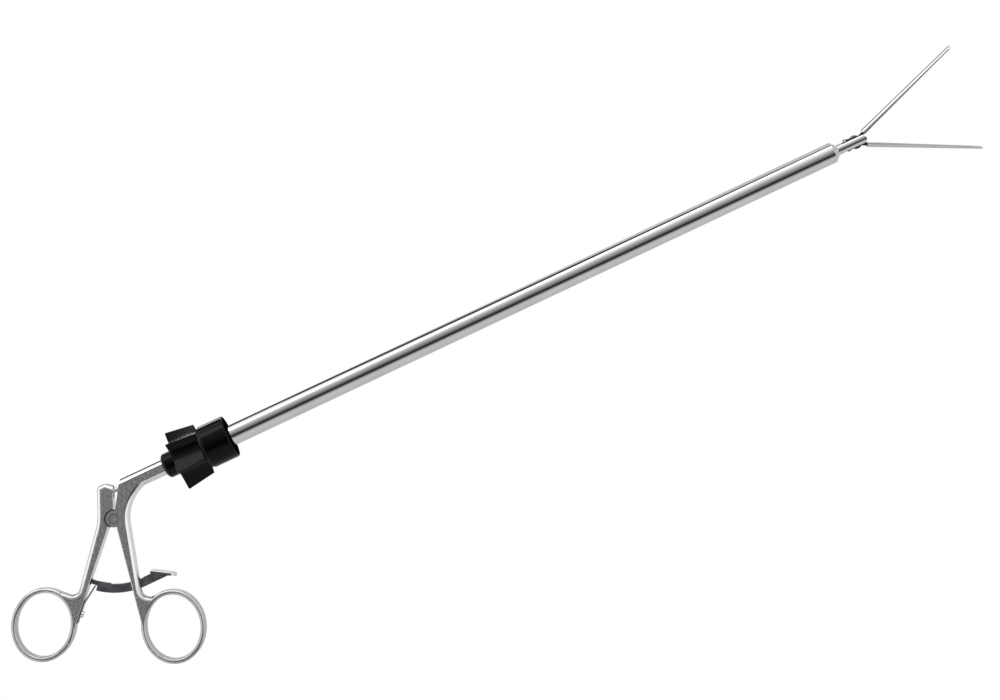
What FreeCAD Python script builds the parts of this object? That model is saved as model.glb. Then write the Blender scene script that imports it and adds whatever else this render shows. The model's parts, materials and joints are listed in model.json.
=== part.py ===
import FreeCAD
import Part
import math
import os

Vector = FreeCAD.Vector

# Laparoscopic grasper with ring handles, a ratchet, a rotating 10 mm shaft and two long jaws.
# Millimetres. +X runs along the shaft to the jaws, +Z is up, Y is the handles' depth.
# The origin is on the shaft's axis, at the front face of the collar.

# Shaft, from the collar forward
tube_radius = 5.0
tube_wall = 0.5
tube_end = 316.8
tube_step = 0.5
tube_socket = 9.0
collar_radius = 10.45
collar_length = 12.6
collar_round = 0.7
spacer_thickness = 1.5
spacer_radius = 9.9
knob_length = 14.3
knob_teeth = 6
knob_crest_back = 14.9
knob_crest_front = 12.8
knob_root_back = 10.3
knob_root_front = 9.8
knob_undercut = 8.0
knob_crest_angle = 53.0
bush_radius = 5.2
guide_count = 3
guide_length = 5.0
guide_first = 60.0
guide_step = 100.0
cone_length = 2.5
plug_length = 7.8
clevis_radius = 2.5
fork_reach = 5.4
fork_depth = 6.6
prong_inside = 1.5
rest_roll = 15.0

# Drive rod
rod_radius = 1.1
ball_radius = 1.8
tongue_half = 0.45
tongue_height = 1.3
drive_pin_radius = 0.5
drive_pin_rest = 1.9

# Jaws
jaw_pivot_ahead = 11.8
jaw_length = 62.8
jaw_pin_radius = 0.75
jaw_plate = 0.9
jaw_plate_gap = 0.075
knuckle_radius = 3.15
jaw_start = 5.7
jaw_width_back = 4.4
jaw_width_tip = 3.4
jaw_depth_back = 2.1
jaw_depth_tip = 1.15
jaw_face_gap = 0.05
upper_opening = 20.6
lower_opening = 27.2
serration_pitch = 1.2
serration_depth = 0.25

# Handles
pivot_back = 66.7
pivot_drop = 12.0
handle_depth = 6.6
knuckle_disc = 4.1
tongue_depth = 2.4
joint_gap = 0.1
handle_screw_radius = 1.3
handle_screw_head = 2.1
arm_radius = 3.8
flat_top = 1.7
spigot_radius = 3.6
nut_radius = 6.1
nut_length = 6.3
ring_across = 12.9
ring_tall = 15.3
ring_wall = 2.4
ring_round = 1.05
front_edge_round = 2.6
rear_edge_round = 2.1
# Each ring: x and z of its centre, and how far its long axis leans forward
rear_ring = (-118.5, -43.5, 36.0)
front_ring = (-63.0, -70.5, 19.0)
ball_ahead = 2.1
lever_travel = 14.0

# Ratchet, as radii about the handles' pivot and angles from straight down to the rear
tooth_crest = 31.1
bar_height = 4.3
bar_thickness = 2.0
bar_gap = 0.15
tooth_pitch = 1.0
tooth_depth = 0.55
tooth_count = 16
teeth_from = 28.6
shoulder_angle = 39.5
bar_pin_radius = 0.8
bar_pin_offset = 1.0
bar_pin_angle = 47.4
bar_eye_wall = 0.9
tang_inside = 1.2
tang_outside = 0.8
pawl_angle = 6.0
plate_thickness = 1.6
plate_width = 7.0
plate_length = 12.2
plate_slope = 32.0
spring_thickness = 0.45
spring_width = 4.0
spring_foot = 11.7
spring_screw_place = 16.5
spring_bend = 21.7

# Fits
running_gap = 0.03
rod_gap = 0.04
free_gap = 0.3
bush_front = 53.6

# Positions that follow from the sizes above
half_depth = handle_depth / 2.0
tube_inside = tube_radius - tube_wall
tail_radius = tube_radius - tube_step
tail_inside = tail_radius - tube_wall
tube_start = -tube_socket
jaw_pivot_x = tube_end + jaw_pivot_ahead
clevis_end = jaw_pivot_x + fork_reach
clevis_bore_end = jaw_pivot_x - fork_depth
collar_back = -collar_length
spacer_back = collar_back - spacer_thickness
knob_back = spacer_back - knob_length
nut_front = knob_back - free_gap
nut_back = nut_front - nut_length
spigot_end = collar_back + 0.5
pivot = Vector(-pivot_back, 0, -pivot_drop)
ball_back = pivot_back - ball_ahead
ball_angle = math.atan2(pivot_drop, ball_ahead)
rod_travel = ball_ahead - pivot_drop / math.tan(ball_angle + math.radians(lever_travel))
bar_outer = tooth_crest + bar_height
bar_pin_reach = tooth_crest + bar_pin_offset
tang_in = bar_pin_reach - tang_inside
tang_out = bar_pin_reach + tang_outside
bar_eye = bar_pin_radius + bar_eye_wall
# Corners of the moving handle's outline beside the pivot
heel = pivot + Vector(-4.9, 0, -3.5)
throat = pivot + Vector(1.7, 0, 4.1)


def turned(profile):
    """Solid of revolution about the shaft's axis, from (x, radius) corners."""
    corners = [Vector(x, 0, radius) for x, radius in profile]
    face = Part.Face(Part.makePolygon(corners + corners[:1]))
    return face.revolve(Vector(0, 0, 0), Vector(1, 0, 0), 360)


def along_x(radius, x_from, x_to):
    return Part.makeCylinder(radius, x_to - x_from, Vector(x_from, 0, 0), Vector(1, 0, 0))


def across(radius, y_from, y_to, x, z):
    return Part.makeCylinder(radius, y_to - y_from, Vector(x, y_from, z), Vector(0, 1, 0))


def block(x_from, x_to, y_from, y_to, z_from, z_to):
    return Part.makeBox(x_to - x_from, y_to - y_from, z_to - z_from, Vector(x_from, y_from, z_from))


def prism(wire, y_from, y_to):
    """Extrusion along Y of a flat wire drawn in the plane y = 0."""
    face = Part.Face(wire)
    solid = face.extrude(Vector(0, y_to - y_from, 0))
    solid.translate(Vector(0, y_from, 0))
    return solid


def outline(corners):
    """Closed wire through (x, z, corner radius) corners, and the middle of each of its edges."""
    edges = []
    middles = {}
    starts = []
    ends = []
    arcs = []
    count = len(corners)
    for index in range(count):
        x, z, radius = corners[index]
        here = Vector(x, 0, z)
        before = Vector(corners[index - 1][0], 0, corners[index - 1][1])
        after = Vector(corners[(index + 1) % count][0], 0, corners[(index + 1) % count][1])
        if radius == 0:
            starts.append(here)
            ends.append(here)
            arcs.append(None)
            continue
        back = (before - here).normalize()
        ahead = (after - here).normalize()
        half = back.getAngle(ahead) / 2.0
        run = radius / math.tan(half)
        bisector = (back + ahead).normalize()
        centre = here + bisector * (radius / math.sin(half))
        starts.append(here + back * run)
        ends.append(here + ahead * run)
        arcs.append(centre - bisector * radius)
    for index in range(count):
        if arcs[index] is not None:
            edges.append(Part.Arc(starts[index], arcs[index], ends[index]).toShape())
            middles["arc", index] = arcs[index]
        leave = ends[index]
        arrive = starts[(index + 1) % count]
        if leave.distanceToPoint(arrive) > 1e-6:
            edges.append(Part.LineSegment(leave, arrive).toShape())
            middles["side", index] = (leave + arrive) * 0.5
    return Part.Wire(Part.__sortEdges__(edges)), middles


def rounded(solid, points, radius, half):
    """Rounds the edges that pass through the points, on both faces y = +half and y = -half."""
    chosen = []
    for point in points:
        for side in (-half, half):
            mark = Part.Vertex(Vector(point.x, side, point.z))
            for edge in solid.Edges:
                if edge.distToShape(mark)[0] < 0.005:
                    chosen.append(edge)
                    break
    return solid.makeFillet(radius, chosen)


def about_pivot(radius, angle):
    """Point at a radius about the handles' pivot, its angle from straight down to the rear."""
    turn = math.radians(angle)
    return Vector(pivot.x - radius * math.sin(turn), 0, pivot.z - radius * math.cos(turn))


def sector(inner, outer, angle_from, angle_to, half):
    """Ring sector about the handles' pivot, |y| up to half."""
    middle = (angle_from + angle_to) / 2.0
    edges = [
        Part.Arc(about_pivot(inner, angle_from), about_pivot(inner, middle), about_pivot(inner, angle_to)),
        Part.LineSegment(about_pivot(inner, angle_to), about_pivot(outer, angle_to)),
        Part.Arc(about_pivot(outer, angle_to), about_pivot(outer, middle), about_pivot(outer, angle_from)),
        Part.LineSegment(about_pivot(outer, angle_from), about_pivot(inner, angle_from)),
    ]
    return prism(Part.Wire([edge.toShape() for edge in edges]), -half, half)


def ring_axes(ring):
    lean = math.radians(ring[2])
    wide = Vector(math.cos(lean), 0, -math.sin(lean))
    tall = Vector(math.sin(lean), 0, math.cos(lean))
    return wide, tall


def rim(ring, angle):
    """Point of a finger ring's outer rim, its angle from the ring's short half axis."""
    wide, tall = ring_axes(ring)
    turn = math.radians(angle)
    reach = wide * ((ring_across + ring_wall) * math.cos(turn))
    rise = tall * ((ring_tall + ring_wall) * math.sin(turn))
    return Vector(ring[0], 0, ring[1]) + reach + rise


def oval(ring, extra, half):
    """Oval prism on a finger ring's centre, larger than its opening by extra."""
    wide, tall = ring_axes(ring)
    middle = Vector(ring[0], 0, ring[1])
    top = middle + tall * (ring_tall + extra)
    side = middle + wide * (ring_across + extra)
    wire = Part.Wire(Part.Ellipse(top, side, middle).toShape())
    return prism(wire, -half, half)


def finger_ring(ring):
    body = oval(ring, ring_wall, half_depth).cut(oval(ring, 0, half_depth))
    rims = [edge for edge in body.Edges if isinstance(edge.Curve, Part.Ellipse)]
    return body.makeFillet(ring_round, rims)


def elbow_face():
    """The oblique rear face of the fixed handle's arm, as two points of its line."""
    return Vector(-56.2, 0, arm_radius), Vector(-64.1, 0, -8.2)


def behind_elbow():
    """Everything behind the arm's oblique face, as a cutter."""
    top, bottom = elbow_face()
    run = bottom - top
    corners = [top - run, bottom + run, Vector(-90, 0, bottom.z), Vector(-90, 0, 30)]
    return prism(Part.makePolygon(corners + corners[:1]), -10, 10)


def arm():
    """Arm from the elbow to the nut: round, with flat sides that continue the shank's faces."""
    bar = along_x(arm_radius, -70.0, nut_front)
    bar = bar.common(block(-70.0, nut_front, -half_depth, half_depth, -arm_radius, arm_radius))
    return bar.cut(behind_elbow())


def fixed_shank():
    """Front shank from the ring to the arm, flat, with a rounded front edge."""
    top, bottom = elbow_face()
    share = (top.z - flat_top) / (top.z - bottom.z)
    face_top = top + (bottom - top) * share
    low = rim(front_ring, 212)
    high = rim(front_ring, 118)
    corners = [
        (-38.0, flat_top, 0),
        (face_top.x, face_top.z, 0),
        (bottom.x, bottom.z, 0),
        (pivot.x + 0.5, pivot.z, 0),
        (pivot.x - 0.55, pivot.z - 3.6, 0),
        (low.x, low.z, 0),
        (front_ring[0], front_ring[1], 0),
        (high.x, high.z, 0),
        (-70.9, -52.6, 4.3),
        (-56.8, -3.0, 20.0),
        (-38.0, -3.0, 0),
    ]
    wire, middles = outline(corners)
    solid = prism(wire, -half_depth, half_depth)
    front = [middles["side", 7], middles["arc", 8], middles["side", 8], middles["arc", 9], middles["side", 9]]
    solid = rounded(solid, front, front_edge_round, half_depth)
    return rounded(solid, [middles["side", 4]], 0.5, half_depth)


def fixed_handle():
    shank = fixed_shank().cut(oval(front_ring, ring_wall / 2.0, handle_depth))
    solid = shank.fuse(arm())
    solid = solid.fuse(across(knuckle_disc, -half_depth, half_depth, pivot.x, pivot.z))
    solid = solid.fuse(finger_ring(front_ring))
    solid = solid.fuse(along_x(spigot_radius, nut_front, spigot_end)).removeSplitter()
    # Fork slot of the box joint, screw hole and counterbore
    slot_half = tongue_depth / 2.0 + joint_gap
    solid = solid.cut(across(knuckle_disc + free_gap, -slot_half, slot_half, pivot.x, pivot.z))
    solid = solid.cut(across(handle_screw_radius, -half_depth, half_depth, pivot.x, pivot.z))
    solid = solid.cut(across(handle_screw_head + 0.05, -half_depth, -2.4, pivot.x, pivot.z))
    # Window for the ratchet bar, the rod's bore, the bush's seat and the snap ring's groove
    solid = solid.cut(sector(tooth_crest - 0.7, bar_outer + 2.1, -12, 20, bar_thickness / 2.0 + bar_gap))
    solid = solid.cut(pawl_tooth())
    solid = solid.cut(along_x(rod_radius + 0.15, -70.0, 0))
    solid = solid.cut(along_x(2.0, -70.0, -bush_front))
    groove = along_x(spigot_radius + 1, snap_back(), snap_back() + 0.8)
    groove = groove.cut(along_x(spigot_radius - 0.6, snap_back(), snap_back() + 0.8))
    return solid.cut(groove)


def snap_back():
    return spacer_back


def retaining_ring():
    return turned([
        (snap_back(), spigot_radius - 0.6),
        (snap_back(), 5.0),
        (snap_back() + 0.8, 5.0),
        (snap_back() + 0.8, spigot_radius - 0.6),
    ])


def rod_bush():
    bush = along_x(2.0, -61.5, -bush_front).cut(along_x(rod_radius + rod_gap, -70, -50))
    return bush.cut(behind_elbow())


def pivot_screw():
    screw = across(handle_screw_radius, -2.4, half_depth, pivot.x, pivot.z)
    screw = screw.fuse(across(handle_screw_head, -half_depth, -2.4, pivot.x, pivot.z))
    slot = block(-5, 5, -half_depth - 1, -half_depth + 0.5, -0.3, 0.3)
    slot.rotate(Vector(0, 0, 0), Vector(0, 1, 0), 20)
    slot.translate(pivot)
    return screw.cut(slot)


def pawl_tooth():
    """Catch at the top of the window: a wedge that points down at the bar's teeth."""
    corners = [
        about_pivot(tooth_crest - 2.7, pawl_angle - 1.6),
        about_pivot(tooth_crest - 2.7, pawl_angle + 1.6),
        about_pivot(tooth_crest - 1.0, pawl_angle + 1.6),
        about_pivot(tooth_crest - 0.1, pawl_angle + 0.7),
        about_pivot(tooth_crest - 1.0, pawl_angle - 1.6),
    ]
    half = bar_thickness / 2.0 + bar_gap
    return prism(Part.makePolygon(corners + corners[:1]), -half, half)


def neck_nut():
    return turned([
        (nut_back, arm_radius),
        (nut_back + 0.35, nut_radius - 1.3),
        (nut_back + 0.9, nut_radius - 0.5),
        (nut_back + 1.7, nut_radius),
        (nut_front, nut_radius),
        (nut_front, arm_radius),
    ])


def knob_section(x, crest, root):
    """Pinwheel section: every crest drops steeply to a root, the flank then rises to the next."""
    corners = []
    for tooth in range(knob_teeth):
        angle = knob_crest_angle - 360.0 / knob_teeth * tooth
        for radius, turn in ((crest, angle), (root, angle - knob_undercut)):
            across_y = -radius * math.cos(math.radians(turn))
            up_z = radius * math.sin(math.radians(turn))
            corners.append(Vector(x, across_y, up_z))
    return Part.makePolygon(corners + corners[:1])


def rotation_knob():
    back = knob_section(knob_back, knob_crest_back, knob_root_back)
    front = knob_section(spacer_back, knob_crest_front, knob_root_front)
    body = Part.makeLoft([back, front], True, True)
    return body.cut(along_x(bush_radius, knob_back - 1, spacer_back + 1))


def bearing_bush():
    bush = along_x(bush_radius, knob_back + 0.3, spacer_back - 0.2)
    return bush.cut(along_x(spigot_radius + running_gap, knob_back, spacer_back))


def spacer_ring():
    return along_x(spacer_radius, spacer_back, collar_back).cut(along_x(6.0, spacer_back, collar_back))


def collar():
    body = along_x(collar_radius, collar_back, 0)
    front = [edge for edge in body.Edges if abs(edge.CenterOfMass.x) < 0.01 and edge.Length > 10]
    body = body.makeFillet(collar_round, front)
    body = body.cut(along_x(tail_radius, tube_start, 1))
    return body.cut(along_x(tube_radius + 0.5, collar_back, tube_start))


def outer_tube():
    """Tube with a narrower tail that sits in the collar."""
    tube = along_x(tube_radius, 0, tube_end).fuse(along_x(tail_radius, tube_start, 0))
    tube = tube.cut(along_x(tail_inside, tube_start, tube_end))
    return tube.cut(along_x(tube_inside, tube_wall + 0.3, tube_end))


def seal_carrier():
    body = along_x(tail_inside, tube_start, tube_start + 6.0)
    body = body.cut(along_x(rod_radius + free_gap, tube_start, tube_start + 6.0))
    return body.cut(along_x(2.75, tube_start + 2.2, tube_start + 3.8))


def rod_seal():
    return Part.makeTorus(rod_radius + rod_gap + 0.8, 0.8, Vector(tube_start + 3.0, 0, 0), Vector(1, 0, 0))


def rod_guide(index):
    middle = guide_first + guide_step * index
    disc = along_x(tube_inside, middle - guide_length / 2.0, middle + guide_length / 2.0)
    return disc.cut(along_x(rod_radius + rod_gap, middle - guide_length, middle + guide_length))


def nose_cone():
    return turned([
        (tube_end - plug_length, clevis_radius),
        (tube_end - plug_length, tube_inside),
        (tube_end, tube_inside),
        (tube_end, tube_radius),
        (tube_end + cone_length, clevis_radius + 0.2),
        (tube_end + cone_length, clevis_radius),
    ])


def clevis():
    body = along_x(clevis_radius, tube_end - plug_length, clevis_end)
    # Rounded end: the plan outline's arc, cut square
    end_x = clevis_end - clevis_radius
    keep = across(clevis_radius, -5, 5, end_x, 0).fuse(block(tube_end - 20, end_x, -5, 5, -5, 5))
    body = body.common(keep)
    body = body.cut(along_x(clevis_radius - 0.6, tube_end - plug_length, clevis_bore_end))
    body = body.cut(block(clevis_bore_end, clevis_end + 1, -prong_inside, prong_inside, -5, 5))
    return body.cut(across(jaw_pin_radius, -5, 5, jaw_pivot_x, 0))


def jaw_pin():
    pin = across(jaw_pin_radius, -5, 5, jaw_pivot_x, 0)
    return pin.common(along_x(clevis_radius, jaw_pivot_x - 5, jaw_pivot_x + 5))


def drive_rod():
    rod = along_x(rod_radius, -ball_back, clevis_bore_end - 2.0)
    return rod.cut(rod_ball())


def rod_ball():
    return Part.makeSphere(ball_radius, Vector(-ball_back, 0, 0))


def rod_tongue():
    plate_end = jaw_pivot_x - jaw_pin_radius - free_gap
    socket = along_x(clevis_radius - 0.8, clevis_bore_end - 5.5, clevis_bore_end - 0.5)
    plate = block(clevis_bore_end - 1.0, plate_end, -tongue_half, tongue_half, -tongue_height, tongue_height)
    body = socket.fuse(plate).removeSplitter()
    body = body.cut(along_x(rod_radius, clevis_bore_end - 6.0, clevis_bore_end - 2.0))
    return body.cut(across(drive_pin_radius, -5, 5, jaw_pivot_x - drive_pin_rest, 0))


def drive_pin():
    return across(drive_pin_radius, -1.42, 1.42, jaw_pivot_x - drive_pin_rest, 0)


def cam_slot(opening):
    """Slot of a jaw's tail: the pin's distance grows evenly while the jaw closes."""
    half = drive_pin_radius + 0.04
    steps = 12
    path = []
    for step in range(-1, steps + 2):
        share = step / steps
        turn = math.radians(180 - opening * (1 - share))
        reach = drive_pin_rest + rod_travel * share
        path.append(Vector(reach * math.cos(turn), 0, reach * math.sin(turn)))
    upper = []
    lower = []
    for index in range(1, len(path) - 1):
        run = (path[index + 1] - path[index - 1]).normalize()
        side = Vector(-run.z, 0, run.x)
        upper.append(path[index] + side * half)
        lower.append(path[index] - side * half)
    start_run = (path[2] - path[0]).normalize()
    end_run = (path[-1] - path[-3]).normalize()
    top_curve = Part.BSplineCurve()
    top_curve.interpolate(upper)
    low_curve = Part.BSplineCurve()
    low_curve.interpolate(lower)
    edges = [
        top_curve.toShape(),
        Part.Arc(upper[-1], path[-2] + end_run * half, lower[-1]).toShape(),
        low_curve.toShape(),
        Part.Arc(lower[0], path[1] - start_run * half, upper[0]).toShape(),
    ]
    wire = Part.Wire(Part.__sortEdges__(edges))
    return prism(wire, -5, 5), path[-2]


def half_section(u, width, depth):
    """D-shaped section of a jaw at the distance u from its pivot, flat on the inner side."""
    half = width / 2.0
    left = Vector(u, -half, jaw_face_gap)
    right = Vector(u, half, jaw_face_gap)
    crown = Vector(u, 0, jaw_face_gap + depth)
    middle = Vector(u, 0, jaw_face_gap)
    if half > depth:
        ellipse = Part.Ellipse(right, crown, middle)
        back = Part.ArcOfEllipse(ellipse, 0, math.pi).toShape()
    else:
        back = Part.Arc(left, crown, right).toShape()
    flat = Part.LineSegment(back.valueAt(back.LastParameter), back.valueAt(back.FirstParameter)).toShape()
    return Part.Wire([back, flat])


def jaw_body():
    """Long tapering finger with a rounded tip."""
    sections = []
    for share in (0.0, 0.5, 1.0):
        u = jaw_start + (jaw_length - jaw_start) * share
        width = jaw_width_back + (jaw_width_tip - jaw_width_back) * share
        depth = jaw_depth_back + (jaw_depth_tip - jaw_depth_back) * share
        sections.append(half_section(u, width, depth))
    body = Part.makeLoft(sections, True, True)
    # Rounded tip in plan, and the crown sloped down to it
    half = jaw_width_tip / 2.0
    tip_centre = jaw_length - half
    plan = Part.makeCylinder(half, 10, Vector(tip_centre, 0, -5), Vector(0, 0, 1))
    plan = plan.fuse(block(0, tip_centre, -5, 5, -5, 5))
    body = body.common(plan)
    nose = across(6.0, -5, 5, jaw_length - 6.0, 0).fuse(block(0, jaw_length - 6.0, -5, 5, -6, 6))
    return body.common(nose)


def jaw(opening):
    """Jaw in its own frame, closed along +X with its working face down, its plate on the side -Y."""
    plate_out = -(prong_inside - jaw_plate_gap)
    plate_in = plate_out + jaw_plate
    slot, slot_end = cam_slot(opening)
    tail_radius = drive_pin_radius + 0.44
    knuckle = across(knuckle_radius, plate_out, plate_in, 0, 0)
    tail = across(tail_radius, plate_out, plate_in, slot_end.x, slot_end.z)
    rise = math.radians(opening * 0.5)
    flank = [
        Vector(0, 0, 0) + Vector(math.sin(rise) * 2.2, 0, math.cos(rise) * 2.2),
        Vector(slot_end.x, 0, slot_end.z + tail_radius),
        Vector(slot_end.x, 0, slot_end.z - tail_radius),
        Vector(0, 0, -1.8),
    ]
    tail = tail.fuse(prism(Part.makePolygon(flank + flank[:1]), plate_out, plate_in))
    neck = block(0, jaw_start + 3.0, plate_out, plate_in, jaw_face_gap, jaw_depth_back - 0.5)
    solid = jaw_body().fuse(knuckle).fuse(tail).fuse(neck).removeSplitter()
    solid = solid.cut(slot)
    solid = solid.cut(across(jaw_pin_radius + running_gap, -5, 5, 0, 0))
    # Long groove and fine cross serrations on the working face
    groove = block(jaw_start + 4.0, jaw_length - 4.0, -0.5, 0.5, -1, jaw_face_gap + 0.35)
    solid = solid.cut(groove)
    count = int((jaw_length - jaw_start - 7.0) / serration_pitch)
    cutters = []
    for index in range(count):
        u = jaw_start + 4.0 + serration_pitch * (index + 0.5)
        low = jaw_face_gap - 0.1
        notch = [Vector(u - 0.35, -5, low), Vector(u + 0.35, -5, low), Vector(u, -5, jaw_face_gap + serration_depth)]
        face = Part.Face(Part.makePolygon(notch + notch[:1]))
        cutters.append(face.extrude(Vector(0, 10, 0)))
    return solid.cut(Part.makeCompound(cutters))


def upper_jaw():
    solid = jaw(upper_opening)
    solid.rotate(Vector(0, 0, 0), Vector(0, 1, 0), -upper_opening)
    solid.translate(Vector(jaw_pivot_x, 0, 0))
    return solid


def lower_jaw():
    solid = jaw(lower_opening)
    solid.rotate(Vector(0, 0, 0), Vector(1, 0, 0), 180)
    solid.rotate(Vector(0, 0, 0), Vector(0, 1, 0), lower_opening)
    solid.translate(Vector(jaw_pivot_x, 0, 0))
    return solid


def head_corners():
    """The moving handle's head and rear edge down to its ring, as (x, z, corner radius)."""
    return [
        (-60.7, 2.3, 0),
        (-63.7, 5.0, 2.3),
        (-68.0, 4.8, 2.3),
        (-74.8, -10.4, 25.0),
        (-98.5, -38.4, 3.5),
    ]


def inner_edge():
    """Straight inner edge of the rear shank: its low end, its direction, and its outward normal."""
    low = rim(rear_ring, -27)
    run = (heel - low).normalize()
    return low, run, Vector(run.z, 0, -run.x)


def moving_shank():
    """Rear shank with the head that holds the rod's ball, flat, with a rounded rear edge."""
    high = rim(rear_ring, 80)
    low, run, out = inner_edge()
    corners = head_corners() + [
        (high.x, high.z, 0),
        (rear_ring[0], rear_ring[1], 0),
        (low.x, low.z, 0),
        (heel.x, heel.z, 0),
        (throat.x, throat.z, 0),
    ]
    wire, middles = outline(corners)
    solid = prism(wire, -half_depth, half_depth)
    rear = [middles["side", 0]]
    for index in range(1, 5):
        rear += [middles["arc", index], middles["side", index]]
    solid = rounded(solid, rear, rear_edge_round, half_depth)
    return rounded(solid, [middles["side", 7]], 0.5, half_depth)


def moving_handle():
    solid = moving_shank().cut(oval(rear_ring, ring_wall / 2.0, handle_depth))
    solid = solid.fuse(finger_ring(rear_ring))
    # Tongue of the box joint between the fixed handle's cheeks
    tongue_half_depth = tongue_depth / 2.0
    clear_radius = knuckle_disc + 0.2
    solid = solid.cut(across(clear_radius, -half_depth - 1, half_depth + 1, pivot.x, pivot.z))
    disc = across(clear_radius + 0.4, -tongue_half_depth, tongue_half_depth, pivot.x, pivot.z)
    disc = disc.common(moving_web()).fuse(
        across(knuckle_disc + 0.1, -tongue_half_depth, tongue_half_depth, pivot.x, pivot.z))
    solid = solid.fuse(disc).removeSplitter()
    hole = across(handle_screw_radius + running_gap, -half_depth, half_depth, pivot.x, pivot.z)
    solid = solid.cut(hole)
    # Ball socket open at the top, and the slot for the rod's neck
    up = Vector(math.cos(ball_angle), 0, math.sin(ball_angle))
    socket = Part.makeCylinder(ball_radius + 0.05, 12, pivot + up * 9.0, up)
    slot = block(0, 9.6, -1.3, 1.3, 0, 9)
    slot.rotate(Vector(0, 0, 0), Vector(0, 1, 0), 90 - math.degrees(ball_angle))
    slot.translate(pivot + up * 9.6)
    solid = solid.cut(socket).cut(slot)
    # Slot and hole for the ratchet bar's tang, and the spring screw's hole
    half = bar_thickness / 2.0 + bar_gap
    centre = about_pivot(bar_pin_reach, bar_pin_angle)
    solid = solid.cut(across(bar_eye + 0.25, -half, half, centre.x, centre.z))
    solid = solid.cut(sector(tang_in - 0.3, tang_out + 0.7, shoulder_angle - 2.0, bar_pin_angle, half))
    solid = solid.cut(across(bar_pin_radius, -half_depth, half_depth, centre.x, centre.z))
    return solid.cut(spring_screw_shank(0))


def moving_web():
    """The rear shank's outline without rounding, for the tongue's web."""
    corners = [Vector(x, 0, z) for x, z, radius in head_corners()]
    corners += [heel, throat]
    return prism(Part.makePolygon(corners + corners[:1]), -half_depth, half_depth)


def ratchet_pin():
    centre = about_pivot(bar_pin_reach, bar_pin_angle)
    return across(bar_pin_radius, -half_depth, half_depth, centre.x, centre.z)


def bevel_points():
    """The bar's oblique end, on which the release plate lies."""
    top = Vector(pivot.x + 5.2, 0, pivot.z - tooth_crest)
    return top, top + Vector(bar_height / math.tan(math.radians(plate_slope)), 0, -bar_height)


def ratchet_bar():
    step = math.degrees(tooth_pitch / tooth_crest)
    bevel_top, bevel_low = bevel_points()
    body_in = tooth_crest - 0.3
    middle = (shoulder_angle + bar_pin_angle) / 2.0
    plain_middle = (shoulder_angle + teeth_from) / 2.0
    edges = [
        Part.Arc(about_pivot(tang_in, bar_pin_angle), about_pivot(tang_in, middle),
                 about_pivot(tang_in, shoulder_angle)),
        Part.LineSegment(about_pivot(tang_in, shoulder_angle), about_pivot(body_in, shoulder_angle)),
        Part.Arc(about_pivot(body_in, shoulder_angle), about_pivot(body_in, plain_middle),
                 about_pivot(body_in, teeth_from)),
        Part.LineSegment(about_pivot(body_in, teeth_from), about_pivot(tooth_crest, teeth_from)),
    ]
    for tooth in range(tooth_count):
        crest = about_pivot(tooth_crest, teeth_from - step * tooth)
        root = about_pivot(tooth_crest + tooth_depth, teeth_from - step * (tooth + 1))
        next_crest = about_pivot(tooth_crest, teeth_from - step * (tooth + 1))
        edges.append(Part.LineSegment(crest, root))
        edges.append(Part.LineSegment(root, next_crest))
    last = about_pivot(tooth_crest, teeth_from - step * tooth_count)
    edges.append(Part.LineSegment(last, bevel_top))
    edges.append(Part.LineSegment(bevel_top, bevel_low))
    edges.append(Part.LineSegment(bevel_low, about_pivot(bar_outer, 0)))
    edges.append(Part.Arc(about_pivot(bar_outer, 0), about_pivot(bar_outer, 19), about_pivot(bar_outer, shoulder_angle)))
    edges.append(Part.LineSegment(about_pivot(bar_outer, shoulder_angle), about_pivot(tang_out, shoulder_angle)))
    edges.append(Part.Arc(about_pivot(tang_out, shoulder_angle), about_pivot(tang_out, middle),
                          about_pivot(tang_out, bar_pin_angle)))
    edges.append(Part.LineSegment(about_pivot(tang_out, bar_pin_angle), about_pivot(tang_in, bar_pin_angle)))
    half = bar_thickness / 2.0
    bar = prism(Part.Wire([edge.toShape() for edge in edges]), -half, half)
    centre = about_pivot(bar_pin_reach, bar_pin_angle)
    bar = bar.fuse(across(bar_eye, -half, half, centre.x, centre.z)).removeSplitter()
    return bar.cut(across(bar_pin_radius + running_gap, -half, half, centre.x, centre.z))


def release_plate():
    """Finger plate on the bar's oblique end, its free end rounded."""
    bevel_top, bevel_low = bevel_points()
    run = (bevel_low - bevel_top).normalize()
    lean = math.degrees(math.atan2(-run.z, run.x))
    half = plate_width / 2.0
    plate = block(-0.6, plate_length - 0.6, -half, half, 0, plate_thickness)
    uprights = [edge for edge in plate.Edges if abs(edge.CenterOfMass.x - (plate_length - 0.6)) < 0.01]
    uprights = [edge for edge in uprights if abs(edge.Length - plate_thickness) < 0.01]
    plate = plate.makeFillet(3.0, uprights)
    plate = plate.makeFillet(0.55, [edge for edge in plate.Edges if edge.BoundBox.ZMin > plate_thickness - 0.01])
    plate.rotate(Vector(0, 0, 0), Vector(0, 1, 0), lean)
    plate.translate(bevel_top)
    return plate


def leaf_spring():
    """Strip that lies on the shank's inner edge, then bends away to the bar's tang."""
    low, run, out = inner_edge()
    foot = low + run * spring_foot
    bend = low + run * spring_bend
    tip = about_pivot(tang_out + 0.4, shoulder_angle + 2.0)
    free = (tip - bend).normalize()
    free_out = Vector(free.z, 0, -free.x)
    corner_out = bend + (out + free_out).normalize() * (spring_thickness / math.cos(out.getAngle(free_out) / 2.0))
    corners = [foot, bend, tip, tip + free_out * spring_thickness, corner_out, foot + out * spring_thickness]
    strip = prism(Part.makePolygon(corners + corners[:1]), -spring_width / 2.0, spring_width / 2.0)
    return strip.cut(spring_screw_shank(0.02))


def spring_screw_shank(extra):
    low, run, out = inner_edge()
    foot = low + run * spring_screw_place
    return Part.makeCylinder(0.8 + extra, 4.5, foot - out * 4.0, out)


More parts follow.
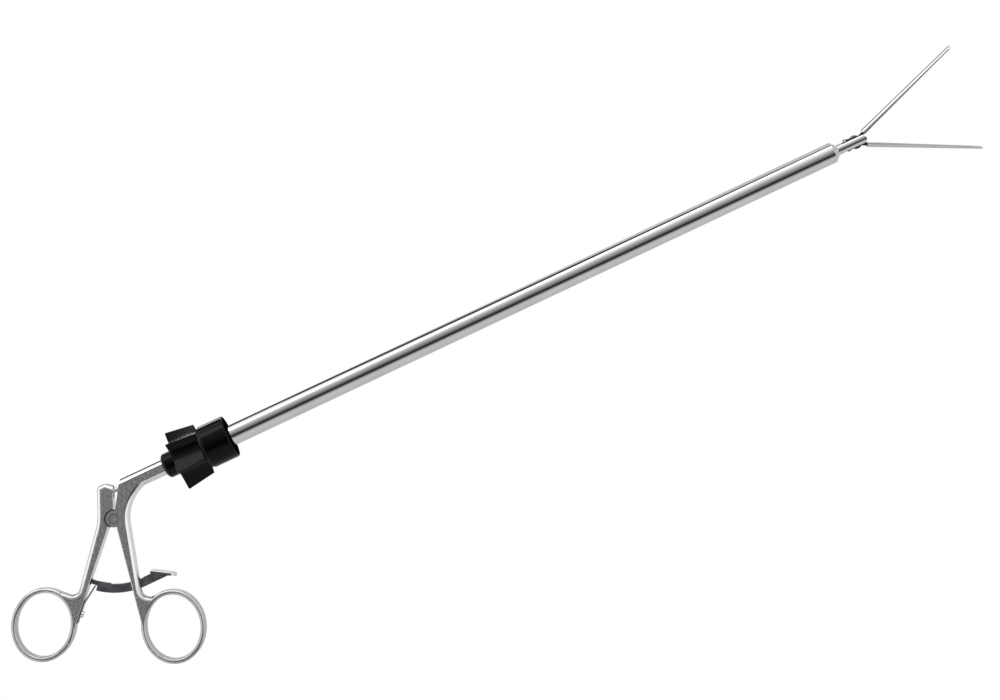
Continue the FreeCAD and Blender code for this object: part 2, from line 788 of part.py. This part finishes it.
def spring_screw():
    low, run, out = inner_edge()
    foot = low + run * spring_screw_place + out * spring_thickness
    head = Part.makeCylinder(1.6, 1.3, foot, out)
    slot = Part.makeBox(0.5, 5, 0.7)
    slot.translate(Vector(-0.25, -2.5, 0.7))
    slot.Placement = FreeCAD.Placement(foot, FreeCAD.Rotation(Vector(0, 0, 1), out)).multiply(slot.Placement)
    shank = spring_screw_shank(0)
    return head.fuse(shank).cut(slot)


handle_nodes = {
    "fixed_handle": fixed_handle(),
    "pivot_screw": pivot_screw(),
    "pawl_tooth": pawl_tooth(),
    "neck_nut": neck_nut(),
    "rod_bush": rod_bush(),
    "retaining_ring": retaining_ring(),
    "moving_handle": moving_handle(),
    "ratchet_pin": ratchet_pin(),
    "leaf_spring": leaf_spring(),
    "spring_screw": spring_screw(),
    "ratchet_bar": ratchet_bar(),
    "release_plate": release_plate(),
}

shaft_nodes = {
    "rotation_knob": rotation_knob(),
    "spacer_ring": spacer_ring(),
    "collar": collar(),
    "bearing_bush": bearing_bush(),
    "outer_tube": outer_tube(),
    "seal_carrier": seal_carrier(),
    "rod_seal": rod_seal(),
    "nose_cone": nose_cone(),
    "clevis": clevis(),
    "jaw_pin": jaw_pin(),
    "drive_rod": drive_rod(),
    "rod_ball": rod_ball(),
    "rod_tongue": rod_tongue(),
    "drive_pin": drive_pin(),
    "upper_jaw": upper_jaw(),
    "lower_jaw": lower_jaw(),
}
for index in range(guide_count):
    shaft_nodes["rod_guide_" + str(index + 1)] = rod_guide(index)

# The photo shows the rotating shaft turned a little, so its nodes are turned about its axis
for shape in shaft_nodes.values():
    shape.rotate(Vector(0, 0, 0), Vector(1, 0, 0), rest_roll)

os.makedirs("parts", exist_ok=True)
for nodes in (handle_nodes, shaft_nodes):
    for name, shape in nodes.items():
        print(name, shape.ShapeType, len(shape.Solids), shape.isValid(), round(shape.Volume, 2))
        solid = shape.Solids[0] if len(shape.Solids) == 1 else shape
        solid.exportStep("parts/" + name + ".step")
print("rod travel", round(rod_travel, 4))
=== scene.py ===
import json
import math
import bpy
from mathutils import Vector, Matrix


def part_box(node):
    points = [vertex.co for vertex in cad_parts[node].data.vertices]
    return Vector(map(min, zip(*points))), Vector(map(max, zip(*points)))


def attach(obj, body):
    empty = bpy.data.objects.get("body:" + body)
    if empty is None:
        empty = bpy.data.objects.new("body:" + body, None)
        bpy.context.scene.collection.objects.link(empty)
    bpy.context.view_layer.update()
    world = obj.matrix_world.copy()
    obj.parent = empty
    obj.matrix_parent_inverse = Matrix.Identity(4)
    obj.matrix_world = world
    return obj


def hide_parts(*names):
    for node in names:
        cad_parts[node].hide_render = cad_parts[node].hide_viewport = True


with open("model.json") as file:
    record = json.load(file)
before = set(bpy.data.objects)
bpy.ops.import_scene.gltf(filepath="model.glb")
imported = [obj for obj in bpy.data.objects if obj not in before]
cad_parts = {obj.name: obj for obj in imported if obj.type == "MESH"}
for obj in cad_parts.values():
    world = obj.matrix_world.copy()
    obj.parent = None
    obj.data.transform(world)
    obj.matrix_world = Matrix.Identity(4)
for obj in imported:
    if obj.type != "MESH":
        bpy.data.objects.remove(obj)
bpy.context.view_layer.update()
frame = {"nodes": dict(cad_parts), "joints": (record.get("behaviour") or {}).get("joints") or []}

nodes = frame["nodes"]
joints = {joint["name"]: joint for joint in frame["joints"]}
white = (1.0, 1.0, 1.0, 1.0)


def newMaterial(name):
    material = bpy.data.materials.new(name)
    material.use_nodes = True
    material.node_tree.nodes.clear()
    return material, material.node_tree


def addNode(tree, kind, **values):
    node = tree.nodes.new(kind)
    for key, value in values.items():
        if key in node.inputs:
            node.inputs[key].default_value = value
        else:
            setattr(node, key, value)
    return node


def link(tree, fromNode, fromSocket, toNode, toSocket):
    tree.links.new(fromNode.outputs[fromSocket], toNode.inputs[toSocket])


def feed(tree, value, socket):
    # Another node's output is linked, and a plain value is set
    if isinstance(value, bpy.types.NodeSocket):
        tree.links.new(value, socket)
    else:
        socket.default_value = value


def feedAll(tree, node, values):
    for name, value in values.items():
        feed(tree, value, node.inputs[name])


def mathNode(tree, operation, *values):
    node = addNode(tree, "ShaderNodeMath", operation=operation)
    for value, socket in zip(values, node.inputs):
        feed(tree, value, socket)
    return node.outputs[0]


def plus(tree, first, second):
    return mathNode(tree, "ADD", first, second)


def minus(tree, first, second):
    return mathNode(tree, "SUBTRACT", first, second)


def times(tree, first, second):
    return mathNode(tree, "MULTIPLY", first, second)


def over(tree, first, second):
    return mathNode(tree, "DIVIDE", first, second)


def between(tree, share, first, second):
    return plus(tree, first, times(tree, share, minus(tree, second, first)))


def mapRange(tree, value, fromLow, fromHigh, toLow=0.0, toHigh=1.0, curve="LINEAR"):
    node = addNode(tree, "ShaderNodeMapRange", interpolation_type=curve)
    limits = {"From Min": fromLow, "From Max": fromHigh, "To Min": toLow, "To Max": toHigh}
    feedAll(tree, node, {"Value": value, **limits})
    return node.outputs["Result"]


def mixColours(tree, share, first, second):
    node = addNode(tree, "ShaderNodeMixRGB")
    feedAll(tree, node, {"Fac": share, "Color1": first, "Color2": second})
    return node.outputs["Color"]


def showSurface(tree, node, socket):
    out = addNode(tree, "ShaderNodeOutputMaterial")
    link(tree, node, socket, out, "Surface")


def dress(names, material):
    for name in names:
        piece = nodes[name]
        piece.data.materials.clear()
        piece.data.materials.append(material)
        for face in piece.data.polygons:
            face.material_index = 0


cameraSettings = {
    "centre": (0.1334, 0.0, -0.0176),
    "distance": 1.0,
    "lens": 75.6,
    "sensor": 36.0,
    "clip": (0.01, 50.0),
    "up": (0.4258, 0.0, 0.9048),
}


def makeCamera(settings):
    data = bpy.data.cameras.new("camera")
    data.type = "PERSP"
    data.lens = settings["lens"]
    data.sensor_width = settings["sensor"]
    data.clip_start, data.clip_end = settings["clip"]
    camera = bpy.data.objects.new("camera", data)
    bpy.context.scene.collection.objects.link(camera)
    up = Vector(settings["up"]).normalized()
    back = Vector((0.0, -1.0, 0.0))
    side = up.cross(back).normalized()
    turn = Matrix((side, up, back)).transposed()
    place = Vector(settings["centre"]) + back * settings["distance"]
    camera.matrix_world = Matrix.Translation(place) @ turn.to_4x4()
    bpy.context.scene.camera = camera
    print("camera placed")


makeCamera(cameraSettings)
bpy.context.scene.view_settings.view_transform = "Standard"


surroundSettings = {
    "strength": 1.2,
    "nearAxis": 0.05,  # least distance from the shaft's direction, so that the share along it stays finite
    "slant": 60.0,  # degrees that the bands climb for each unit along the shaft
    "slantGrowth": 1.9,  # and how much more they climb for each degree past the next one
    "slantFrom": 40.0,
    "slantLeast": -0.11,  # the climb stops growing past this share towards the handles
    # angle round the shaft from the camera's side over the top to the back, and the grey there
    "bands": (
        (-180, 0.50), (-130, 0.48), (-58, 0.56), (-44, 0.42), (-34, 0.20), (-27, 0.03), (-12, 0.02),
        (-4, 0.12), (5, 0.20), (17, 0.31), (30, 0.44), (42, 0.62), (52, 0.80), (62, 0.86), (80, 0.86),
        (87, 0.72), (91, 0.04), (117, 0.04), (126, 0.45), (140, 0.62), (180, 0.50),
    ),
    "tipSide": (0.24, 0.38),  # past this share towards the jaws the surroundings turn pale
    "handleSide": (0.42, 0.55),  # and past this share towards the handles
    "sideBands": (
        (-180, 0.58), (-120, 0.56), (-75, 0.55), (-35, 0.80), (0, 0.84), (70, 0.86), (94, 0.82),
        (101, 0.20), (112, 0.18), (121, 0.56), (150, 0.62), (180, 0.58),
    ),
}


def greyBands(tree, degrees, bands):
    ramp = addNode(tree, "ShaderNodeValToRGB")
    feed(tree, over(tree, plus(tree, degrees, 180.0), 360.0), ramp.inputs["Fac"])
    stops = ramp.color_ramp.elements
    while len(stops) > 1:
        stops.remove(stops[-1])
    for index, (place, grey) in enumerate(bands):
        share = (place + 180.0) / 360.0
        stop = stops[0] if index == 0 else stops.new(share)
        stop.position = share
        stop.color = (grey, grey, grey, 1.0)
    return ramp.outputs["Color"]


def surroundGrey(tree, settings):
    coordinates = addNode(tree, "ShaderNodeTexCoord")
    split = addNode(tree, "ShaderNodeSeparateXYZ")
    link(tree, coordinates, "Generated", split, "Vector")
    x, y, z = split.outputs
    angle = times(tree, mathNode(tree, "ARCTAN2", z, times(tree, y, -1.0)), math.degrees(1.0))
    squares = plus(tree, times(tree, y, y), times(tree, z, z))
    fromAxis = mathNode(tree, "MAXIMUM", mathNode(tree, "SQRT", squares), settings["nearAxis"])
    along = over(tree, x, fromAxis)
    past = mathNode(tree, "MAXIMUM", minus(tree, angle, settings["slantFrom"]), 0.0)
    slant = plus(tree, times(tree, past, settings["slantGrowth"]), settings["slant"])
    climb = times(tree, mathNode(tree, "MAXIMUM", along, settings["slantLeast"]), slant)
    around = greyBands(tree, plus(tree, angle, climb), settings["bands"])
    beside = greyBands(tree, angle, settings["sideBands"])
    tipShare = mapRange(tree, along, *settings["tipSide"], curve="SMOOTHSTEP")
    handleShare = mapRange(tree, times(tree, along, -1.0), *settings["handleSide"], curve="SMOOTHSTEP")
    return mixColours(tree, mathNode(tree, "MAXIMUM", tipShare, handleShare), around, beside)


def makeWorld(settings):
    # The camera sees plain white, and the steel reflects the grey bands
    world = bpy.data.worlds.new("studio")
    world.use_nodes = True
    bpy.context.scene.world = world
    tree = world.node_tree
    tree.nodes.clear()
    surround = addNode(tree, "ShaderNodeBackground", Strength=settings["strength"])
    feed(tree, surroundGrey(tree, settings), surround.inputs["Color"])
    backdrop = addNode(tree, "ShaderNodeBackground", Color=white)
    lightPath = addNode(tree, "ShaderNodeLightPath")
    mix = addNode(tree, "ShaderNodeMixShader")
    link(tree, lightPath, "Is Camera Ray", mix, 0)
    link(tree, surround, "Background", mix, 1)
    link(tree, backdrop, "Background", mix, 2)
    out = addNode(tree, "ShaderNodeOutputWorld")
    link(tree, mix, "Shader", out, "Surface")


studioSettings = {
    "floorHeight": -0.30,
    "floorHalf": 1.6,
    "floorTone": 0.82,
    "floorGlow": 0.75,  # for the camera alone, so that the floor is as white as the backdrop
    "keyPlace": (0.13, -0.34, 0.87),
    "keyAim": (0.13, 0.0, 0.0),
    "keySize": (1.5, 0.35),
    "keyPower": 2.6,
}


def makeFloor(settings):
    half = settings["floorHalf"]
    height = settings["floorHeight"]
    tone = settings["floorTone"]
    mesh = bpy.data.meshes.new("floor")
    corners = [(-half, -half, height), (half, -half, height), (half, half, height), (-half, half, height)]
    mesh.from_pydata(corners, [], [(0, 1, 2, 3)])
    floor = bpy.data.objects.new("floor", mesh)
    bpy.context.scene.collection.objects.link(floor)
    material, tree = newMaterial("paleFloor")
    board = addNode(tree, "ShaderNodeBsdfDiffuse", Color=(tone, tone, tone, 1.0))
    glow = addNode(tree, "ShaderNodeEmission", Color=white)
    lightPath = addNode(tree, "ShaderNodeLightPath")
    strength = times(tree, lightPath.outputs["Is Camera Ray"], settings["floorGlow"])
    feed(tree, strength, glow.inputs["Strength"])
    both = addNode(tree, "ShaderNodeAddShader")
    link(tree, board, "BSDF", both, 0)
    link(tree, glow, "Emission", both, 1)
    showSurface(tree, both, "Shader")
    mesh.materials.append(material)
    floor.visible_glossy = False


def areaLamp(name, place, target, size, power):
    data = bpy.data.lights.new(name, "AREA")
    data.shape = "RECTANGLE"
    data.size, data.size_y = size
    data.energy = power
    lamp = bpy.data.objects.new(name, data)
    bpy.context.scene.collection.objects.link(lamp)
    lamp.location = place
    lamp.rotation_mode = "QUATERNION"
    lamp.rotation_quaternion = (Vector(target) - Vector(place)).to_track_quat("-Z", "Y")
    return lamp


makeWorld(surroundSettings)
makeFloor(studioSettings)
areaLamp("keyLamp", studioSettings["keyPlace"], studioSettings["keyAim"],
         studioSettings["keySize"], studioSettings["keyPower"])
print("studio made")


steelSettings = {
    "grainDetail": 4.0,
    "grainRoughness": 0.6,
    "cloudDetail": 3.0,
    "toneReach": (0.3, 0.7),
    "bumpHeight": 0.00002,
}
plasticSettings = {
    "cloudDetail": 3.0,
    "skinDetail": 2.0,
    "toneReach": (0.0, 1.0),
    "bumpHeight": 0.00003,
    "gloss": 1.5,
    "shine": 0.5,
    "endFaces": (0.85, 0.97),  # how far a surface faces along the shaft before it counts as an end face
}


def toneRamp(tree, share, look, reach):
    ramp = addNode(tree, "ShaderNodeValToRGB")
    feed(tree, share, ramp.inputs["Fac"])
    tones = (look["darkTone"], look["paleTone"])
    for stop, place, tone in zip(ramp.color_ramp.elements, reach, tones):
        stop.position = place
        stop.color = (*tone, 1.0)
    return ramp.outputs["Color"]


def facing(tree, coordinates, axis):
    split = addNode(tree, "ShaderNodeSeparateXYZ")
    link(tree, coordinates, "Normal", split, "Vector")
    return mathNode(tree, "ABSOLUTE", split.outputs[axis])


def noise(tree, coordinates, **values):
    node = addNode(tree, "ShaderNodeTexNoise", **values)
    link(tree, coordinates, "Object", node, "Vector")
    return node.outputs["Fac"]


def bumpFrom(tree, height, strength, distance):
    bump = addNode(tree, "ShaderNodeBump", Strength=strength, Distance=distance)
    feed(tree, height, bump.inputs["Height"])
    return bump.outputs["Normal"]


def edgeFinish(tree, coordinates, look, colour, roughness):
    # The flat sides are satin, and the rounded edges between them are polished
    flat = mapRange(tree, facing(tree, coordinates, "Y"), *look["flatSides"])
    # The finger rings' edges get a darker colour than the shanks' edges, a painted shade standing in for
    # their darker reflection
    height = addNode(tree, "ShaderNodeVectorMath", operation="DOT_PRODUCT")
    link(tree, coordinates, "Object", height, 0)
    height.inputs[1].default_value = look["ringUp"]
    aboveRings = mapRange(tree, height.outputs["Value"], *look["ringTop"])
    edge = mixColours(tree, aboveRings, (*look["ringEdgeShade"], 1.0), (*look["edgeTone"], 1.0))
    colour = mixColours(tree, flat, edge, colour)
    roughness = mapRange(tree, flat, 0.0, 1.0, look["edgeRoughness"], roughness)
    return colour, roughness


def steel(name, look):
    material, tree = newMaterial(name)
    coordinates = addNode(tree, "ShaderNodeTexCoord")
    stretch = addNode(tree, "ShaderNodeMapping", Scale=look["grain"])
    link(tree, coordinates, "Object", stretch, "Vector")
    grain = addNode(tree, "ShaderNodeTexNoise", Scale=1.0, Detail=steelSettings["grainDetail"],
                    Roughness=steelSettings["grainRoughness"])
    link(tree, stretch, "Vector", grain, "Vector")
    cloud = noise(tree, coordinates, Scale=look["cloudScale"], Detail=steelSettings["cloudDetail"])
    roughness = mapRange(tree, cloud, 0.0, 1.0, *look["roughness"])
    colour = toneRamp(tree, cloud, look, steelSettings["toneReach"])
    if "edgeTone" in look:
        colour, roughness = edgeFinish(tree, coordinates, look, colour, roughness)
    normal = bumpFrom(tree, grain.outputs["Fac"], look["bump"], steelSettings["bumpHeight"])
    shader = addNode(tree, "ShaderNodeBsdfPrincipled", Metallic=1.0)
    feedAll(tree, shader, {"Base Color": colour, "Roughness": roughness, "Normal": normal})
    showSurface(tree, shader, "BSDF")
    return material


def plastic(name, look):
    material, tree = newMaterial(name)
    coordinates = addNode(tree, "ShaderNodeTexCoord")
    cloud = noise(tree, coordinates, Scale=look["cloudScale"], Detail=plasticSettings["cloudDetail"])
    skin = noise(tree, coordinates, Scale=look["skinScale"], Detail=plasticSettings["skinDetail"])
    roughness = mapRange(tree, cloud, 0.0, 1.0, *look["roughness"])
    colour = toneRamp(tree, cloud, look, plasticSettings["toneReach"])
    normal = bumpFrom(tree, skin, look["bump"], plasticSettings["bumpHeight"])
    gloss = look.get("gloss", plasticSettings["gloss"])
    shader = addNode(tree, "ShaderNodeBsdfPrincipled", Metallic=0.0, IOR=gloss)
    feedAll(tree, shader, {"Base Color": colour, "Roughness": roughness, "Normal": normal})
    if "endShine" in look:
        # Turned end faces are dull, and the outside is glossy
        limits = (*plasticSettings["endFaces"], plasticSettings["shine"], look["endShine"])
        shine = mapRange(tree, facing(tree, coordinates, "X"), *limits)
        feed(tree, shine, shader.inputs["Specular IOR Level"])
    showSurface(tree, shader, "BSDF")
    return material


satinSteel = steel("satinSteel", {
    "grain": (2200.0, 2200.0, 2200.0), "cloudScale": 900.0, "roughness": (0.30, 0.40), "bump": 0.5,
    "darkTone": (0.38, 0.38, 0.385), "paleTone": (0.74, 0.74, 0.75),
    "edgeTone": (0.90, 0.90, 0.91), "edgeRoughness": 0.10, "flatSides": (0.97, 0.99),
    # the rings' edge tone is painted shade, darker than the shanks' edges
    "ringEdgeShade": (0.56, 0.56, 0.57), "ringUp": cameraSettings["up"], "ringTop": (-0.078, -0.068),
})
polishedSteel = steel("polishedSteel", {
    "grain": (1800.0, 160.0, 160.0), "cloudScale": 60.0, "roughness": (0.06, 0.10), "bump": 0.015,
    "darkTone": (0.72, 0.72, 0.74), "paleTone": (0.80, 0.80, 0.81),
})
jawSteel = steel("jawSteel", {
    "grain": (200.0, 1600.0, 1600.0), "cloudScale": 120.0, "roughness": (0.04, 0.08), "bump": 0.01,
    "darkTone": (0.66, 0.66, 0.68), "paleTone": (0.76, 0.76, 0.78),
})
blackSteel = steel("blackSteel", {
    "grain": (600.0, 600.0, 600.0), "cloudScale": 300.0, "roughness": (0.34, 0.48), "bump": 0.25,
    "darkTone": (0.12, 0.125, 0.135), "paleTone": (0.22, 0.225, 0.24),
})
springSteel = steel("springSteel", {
    "grain": (300.0, 2000.0, 300.0), "cloudScale": 150.0, "roughness": (0.2, 0.32), "bump": 0.1,
    "darkTone": (0.25, 0.25, 0.27), "paleTone": (0.36, 0.36, 0.38),
})
blackPlastic = plastic("blackPlastic", {
    "cloudScale": 80.0, "skinScale": 900.0, "roughness": (0.10, 0.16), "bump": 0.01, "gloss": 1.24,
    "darkTone": (0.001, 0.001, 0.0012), "paleTone": (0.002, 0.002, 0.0024), "endShine": 0.0,
})
# darkPlastic is the spacer ring's own colour and also the colour of the painted shade beads in the pivot
# gaps
darkPlastic = plastic("darkPlastic", {
    "cloudScale": 80.0, "skinScale": 1500.0, "roughness": (0.4, 0.55), "bump": 0.2, "gloss": 1.34,
    "darkTone": (0.004, 0.004, 0.0045), "paleTone": (0.007, 0.007, 0.0075),
})
bearingPlastic = plastic("bearingPlastic", {
    "cloudScale": 100.0, "skinScale": 700.0, "roughness": (0.35, 0.45), "bump": 0.05,
    "darkTone": (0.72, 0.71, 0.67), "paleTone": (0.82, 0.81, 0.78),
})
sealRubber = plastic("sealRubber", {
    "cloudScale": 200.0, "skinScale": 2500.0, "roughness": (0.5, 0.65), "bump": 0.2,
    "darkTone": (0.012, 0.012, 0.012), "paleTone": (0.02, 0.02, 0.02),
})

dress(["fixed_handle", "moving_handle", "pivot_screw", "ratchet_pin"], satinSteel)
dress(["outer_tube", "nose_cone", "clevis", "jaw_pin", "release_plate"], polishedSteel)
dress(["drive_rod", "rod_ball", "rod_tongue", "drive_pin", "spring_screw", "retaining_ring"], polishedSteel)
dress(["upper_jaw", "lower_jaw"], jawSteel)
dress(["ratchet_bar", "pawl_tooth"], blackSteel)
dress(["leaf_spring"], springSteel)
dress(["collar", "neck_nut"], blackPlastic)
dress(["spacer_ring"], darkPlastic)
dress(["bearing_bush", "rod_bush", "seal_carrier"], bearingPlastic)
dress(["rod_guide_1", "rod_guide_2", "rod_guide_3"], bearingPlastic)
dress(["rod_seal"], sealRubber)
print("finishes given")


def treeInputs(tree, values):
    kinds = {int: "NodeSocketInt", float: "NodeSocketFloat", tuple: "NodeSocketVector"}
    for name, value in values.items():
        tree.interface.new_socket(name=name, in_out="INPUT", socket_type=kinds[type(value)])
    tree.interface.new_socket(name="Material", in_out="INPUT", socket_type="NodeSocketMaterial")
    tree.interface.new_socket(name="Geometry", in_out="OUTPUT", socket_type="NodeSocketGeometry")
    return addNode(tree, "NodeGroupInput").outputs


def finishTree(tree, given, geometry):
    real = addNode(tree, "GeometryNodeRealizeInstances")
    feed(tree, geometry, real.inputs["Geometry"])
    finish = addNode(tree, "GeometryNodeSetMaterial")
    link(tree, real, "Geometry", finish, "Geometry")
    feed(tree, given["Material"], finish.inputs["Material"])
    out = addNode(tree, "NodeGroupOutput")
    link(tree, finish, "Geometry", out, "Geometry")


def grownMesh(name, tree, values, material):
    start = bpy.data.objects.new(name + "Start", bpy.data.meshes.new(name + "Start"))
    bpy.context.scene.collection.objects.link(start)
    grower = start.modifiers.new("grow", "NODES")
    grower.node_group = tree
    sockets = {item.name: item.identifier for item in tree.interface.items_tree if item.in_out == "INPUT"}
    for key, value in values.items():
        grower[sockets[key]] = value
    grower[sockets["Material"]] = material
    shown = start.evaluated_get(bpy.context.evaluated_depsgraph_get())
    mesh = bpy.data.meshes.new_from_object(shown)
    mesh.name = name
    bpy.data.objects.remove(start)
    piece = bpy.data.objects.new(name, mesh)
    bpy.context.scene.collection.objects.link(piece)
    return piece


handlePivot = joints["lever_hinge"]["pos_m"]
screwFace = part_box("pivot_screw")[0].y  # flush with the flat side of both handles
beadSunk = 0.00008
beadPlace = (handlePivot[0], screwFace + beadSunk, handlePivot[2])
# Painted shade: dark beads laid in the gap between the handles and round the screw's rim
gapShadeSettings = {
    "knuckleSeam": {
        "Centre": beadPlace,
        "Radius": 0.0042,
        "Start": math.radians(60.0),
        "Sweep": math.radians(165.0),
        "Half Width": 0.00034,
        "Steps": 96,
        "Sides": 10,
    },
    "screwSeam": {
        "Centre": beadPlace,
        "Radius": 0.00213,
        "Start": 0.0,
        "Sweep": math.radians(360.0),
        "Half Width": 0.00014,
        "Steps": 96,
        "Sides": 10,
    },
}


def gapShadeTree(values):
    # A thin dark bead that follows the joint line round the handles' pivot, painted shade where the gap
    # lies in shadow
    tree = bpy.data.node_groups.new("gapShadeShape", "GeometryNodeTree")
    given = treeInputs(tree, values)
    arc = addNode(tree, "GeometryNodeCurveArc")
    feedAll(tree, arc, {
        "Resolution": given["Steps"], "Radius": given["Radius"],
        "Start Angle": given["Start"], "Sweep Angle": given["Sweep"],
    })
    ring = addNode(tree, "GeometryNodeCurvePrimitiveCircle")
    feedAll(tree, ring, {"Resolution": given["Sides"], "Radius": given["Half Width"]})
    bead = addNode(tree, "GeometryNodeCurveToMesh")
    link(tree, arc, "Curve", bead, "Curve")
    link(tree, ring, "Curve", bead, "Profile Curve")
    feed(tree, True, bead.inputs["Fill Caps"])
    upright = (math.radians(90.0), 0.0, 0.0)
    placed = addNode(tree, "GeometryNodeTransform", Rotation=upright)
    link(tree, bead, "Mesh", placed, "Geometry")
    feed(tree, given["Centre"], placed.inputs["Translation"])
    finishTree(tree, given, placed.outputs["Geometry"])
    return tree


def makeGapShade(name, values):
    # the bead is painted shade in the joint gap, not a part of the instrument
    shadeBead = grownMesh(name, gapShadeTree(values), values, darkPlastic)
    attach(shadeBead, "handle")
    print(name, "made,", len(shadeBead.data.polygons), "faces")


for gapShadeName, gapShadeValues in gapShadeSettings.items():
    makeGapShade(gapShadeName, gapShadeValues)


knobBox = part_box("rotation_knob")
knobSettings = {
    "Teeth": 6,
    "Steps": 720,
    "Back": knobBox[0].x,
    "Length": knobBox[1].x - knobBox[0].x,
    "Crest Back": 0.0149,
    "Crest Front": 0.0128,
    "Root Back": 0.0103,
    "Root Front": 0.0098,
    "Undercut": math.radians(8.0),
    "Crest Angle": math.radians(38.0),
    "Crest Round": 0.0009,
    "Scoop": 0.0012,
    "Rim Round": 0.00045,
    "Rim Break": 0.3,
    "Bore": 0.0052,
    "Least": 0.0003,
    "Weld": 0.000001,
}


def pickByIndex(tree, index, values):
    pick = addNode(tree, "GeometryNodeIndexSwitch", data_type="FLOAT")
    while len(pick.index_switch_items) < len(values):
        pick.index_switch_items.new()
    feed(tree, index, pick.inputs["Index"])
    for value, socket in zip(values, pick.inputs[1:]):
        feed(tree, value, socket)
    return pick.outputs[0]


def flankLine(tree, given, nearRadius, farRadius, span, angle):
    # Distance from the axis of a straight line between two corners, at an angle from the near one
    top = times(tree, times(tree, nearRadius, farRadius), mathNode(tree, "SINE", span))
    nearShare = times(tree, nearRadius, mathNode(tree, "SINE", angle))
    farShare = times(tree, farRadius, mathNode(tree, "SINE", minus(tree, span, angle)))
    return over(tree, top, mathNode(tree, "MAXIMUM", plus(tree, nearShare, farShare), given["Least"]))


def scoopedFlank(tree, given, root, crest, span, angle):
    # The flank sags halfway between its two corners
    straight = flankLine(tree, given, root, crest, span, angle)
    share = over(tree, angle, span)
    hump = times(tree, times(tree, share, minus(tree, 1.0, share)), 4.0)
    sag = times(tree, mathNode(tree, "MAXIMUM", hump, 0.0), given["Scoop"])
    return minus(tree, straight, sag)


def toothRadius(tree, given, share, turn):
    crest = between(tree, share, given["Crest Back"], given["Crest Front"])
    root = between(tree, share, given["Root Back"], given["Root Front"])
    drop = given["Undercut"]
    pitch = over(tree, 2.0 * math.pi, given["Teeth"])
    flank = minus(tree, pitch, drop)
    # Angle from the nearest crest, from half a flank before it to half a flank behind it
    half = times(tree, flank, 0.5)
    offset = plus(tree, minus(tree, given["Crest Angle"], turn), half)
    fromCrest = minus(tree, mathNode(tree, "FLOORED_MODULO", offset, pitch), half)
    rising = scoopedFlank(tree, given, root, crest, flank, plus(tree, fromCrest, flank))
    falling = flankLine(tree, given, crest, root, drop, fromCrest)
    following = scoopedFlank(tree, given, root, crest, flank, minus(tree, fromCrest, drop))
    tip = mathNode(tree, "SMOOTH_MIN", rising, falling, given["Crest Round"])
    behind = mathNode(tree, "GREATER_THAN", fromCrest, drop)
    return between(tree, behind, tip, following)


def knobCorners(tree, given):
    # Each corner of the section: its place along the axis, its depth below the teeth, and 1 in the bore
    back = given["Back"]
    front = plus(tree, back, given["Length"])
    rim = given["Rim Round"]
    smallRim = times(tree, rim, given["Rim Break"])
    return (
        (back, 0.0, 1.0),
        (back, rim, 0.0),
        (plus(tree, back, smallRim), smallRim, 0.0),
        (plus(tree, back, rim), 0.0, 0.0),
        (minus(tree, front, rim), 0.0, 0.0),
        (minus(tree, front, smallRim), smallRim, 0.0),
        (front, rim, 0.0),
        (front, 0.0, 1.0),
        (back, 0.0, 1.0),
    )


def knobTree(values):
    # A sheet is wrapped round the axis: its width runs round the teeth, its height round the section
    tree = bpy.data.node_groups.new("knobShape", "GeometryNodeTree")
    given = treeInputs(tree, values)
    corners = knobCorners(tree, given)
    sheet = addNode(tree, "GeometryNodeMeshGrid")
    feedAll(tree, sheet, {
        "Size X": 1.0, "Size Y": 1.0,
        "Vertices X": plus(tree, given["Steps"], 1.0), "Vertices Y": len(corners),
    })
    split = addNode(tree, "ShaderNodeSeparateXYZ")
    link(tree, addNode(tree, "GeometryNodeInputPosition"), "Position", split, "Vector")
    turn = times(tree, plus(tree, split.outputs["X"], 0.5), 2.0 * math.pi)
    row = mathNode(tree, "ROUND", times(tree, plus(tree, split.outputs["Y"], 0.5), len(corners) - 1.0))
    place, inset, inBore = [pickByIndex(tree, row, column) for column in zip(*corners)]
    share = over(tree, minus(tree, place, given["Back"]), given["Length"])
    outside = minus(tree, toothRadius(tree, given, share, turn), inset)
    radius = between(tree, inBore, outside, given["Bore"])
    sideways = times(tree, mathNode(tree, "COSINE", turn), -1.0)
    spot = addNode(tree, "ShaderNodeCombineXYZ")
    feedAll(tree, spot, {
        "X": place, "Y": times(tree, radius, sideways),
        "Z": times(tree, radius, mathNode(tree, "SINE", turn)),
    })
    shaped = addNode(tree, "GeometryNodeSetPosition")
    link(tree, sheet, "Mesh", shaped, "Geometry")
    link(tree, spot, "Vector", shaped, "Position")
    closed = addNode(tree, "GeometryNodeMergeByDistance")
    link(tree, shaped, "Geometry", closed, "Geometry")
    feed(tree, given["Weld"], closed.inputs["Distance"])
    finishTree(tree, given, closed.outputs["Geometry"])
    return tree


def makeKnob(values):
    knob = grownMesh("gripKnob", knobTree(values), values, blackPlastic)
    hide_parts("rotation_knob")
    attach(knob, "shaft")
    print("knob made,", len(knob.data.polygons), "faces")


makeKnob(knobSettings)


# Highlights that the black plastic alone catches
gleamSettings = {
    "crestGleam": {
        "place": (0.0, 0.60, 0.68), "aim": (-0.02, 0.0, 0.0), "size": (0.5, 0.42), "power": 4.6,
        "catchers": ("gripKnob",),
    },
    "rimGleam": {
        "place": (0.05, 0.66, 0.60), "aim": (-0.01, 0.0, 0.0), "size": (0.5, 0.24), "power": 1.3,
        "catchers": ("collar", "neck_nut"),
    },
}


def makeGleam(name, settings):
    lamp = areaLamp(name, settings["place"], settings["aim"], settings["size"], settings["power"])
    only = bpy.data.collections.new(name + "Only")
    for piece in settings["catchers"]:
        only.objects.link(bpy.data.objects[piece])
    lamp.light_linking.receiver_collection = only


for gleamName, gleamValues in gleamSettings.items():
    makeGleam(gleamName, gleamValues)
print("gleams placed")
